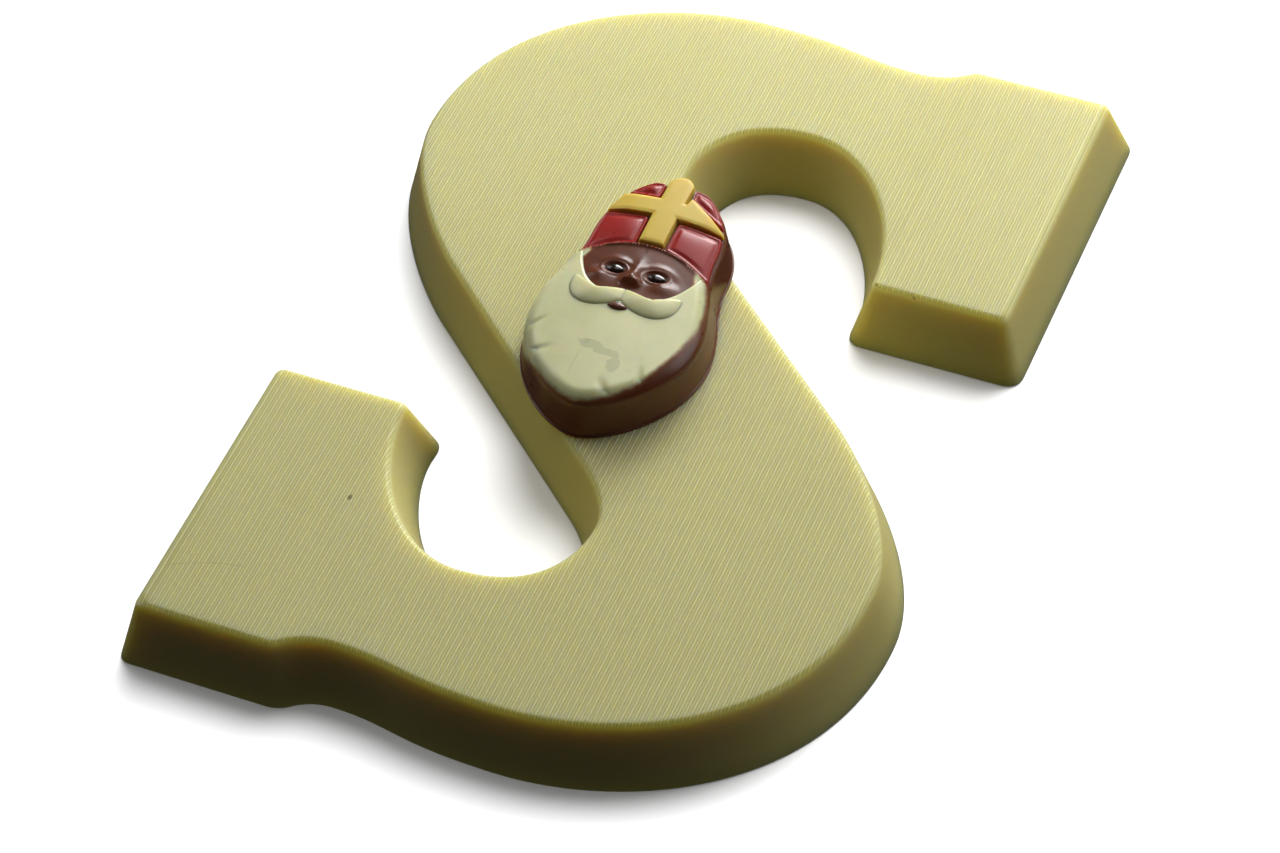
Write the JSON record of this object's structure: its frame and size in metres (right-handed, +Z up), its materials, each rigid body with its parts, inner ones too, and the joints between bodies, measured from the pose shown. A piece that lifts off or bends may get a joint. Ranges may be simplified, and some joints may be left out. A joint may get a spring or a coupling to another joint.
{
  "type": "chocolate letter",
  "caption": "White chocolate letter S with a ribbed top, sloping sides and a moulded bearded bishop's head lying on its middle.",
  "frame": {"origin": "centre of the letter's flat base, on the surface it rests on", "axes": "+Y to the top of the letter, +X to its right as it is read, +Z up out of its ribbed top"},
  "size_m": [0.1166, 0.1622, 0.0236],
  "materials": {
    "white_chocolate": "satin white chocolate, ivory yellow, straight from the mould",
    "milk_chocolate": "glossy milk chocolate",
    "ivory_chocolate": "satin white chocolate, paler than the letter",
    "dark_chocolate": "glossy dark chocolate",
    "red_chocolate": "glossy red coloured chocolate",
    "yellow_chocolate": "satin yellow coloured chocolate"
  },
  "bodies": {
    "root": {"letter": "white_chocolate", "figure_body": "milk_chocolate", "figure_beard": "ivory_chocolate", "figure_eye_left": "dark_chocolate", "figure_eye_right": "dark_chocolate", "mitre_lower_left": "red_chocolate", "mitre_lower_right": "red_chocolate", "mitre_upper_left": "red_chocolate", "mitre_upper_right": "red_chocolate", "mitre_cross": "yellow_chocolate"}
  },
  "joints": []
}
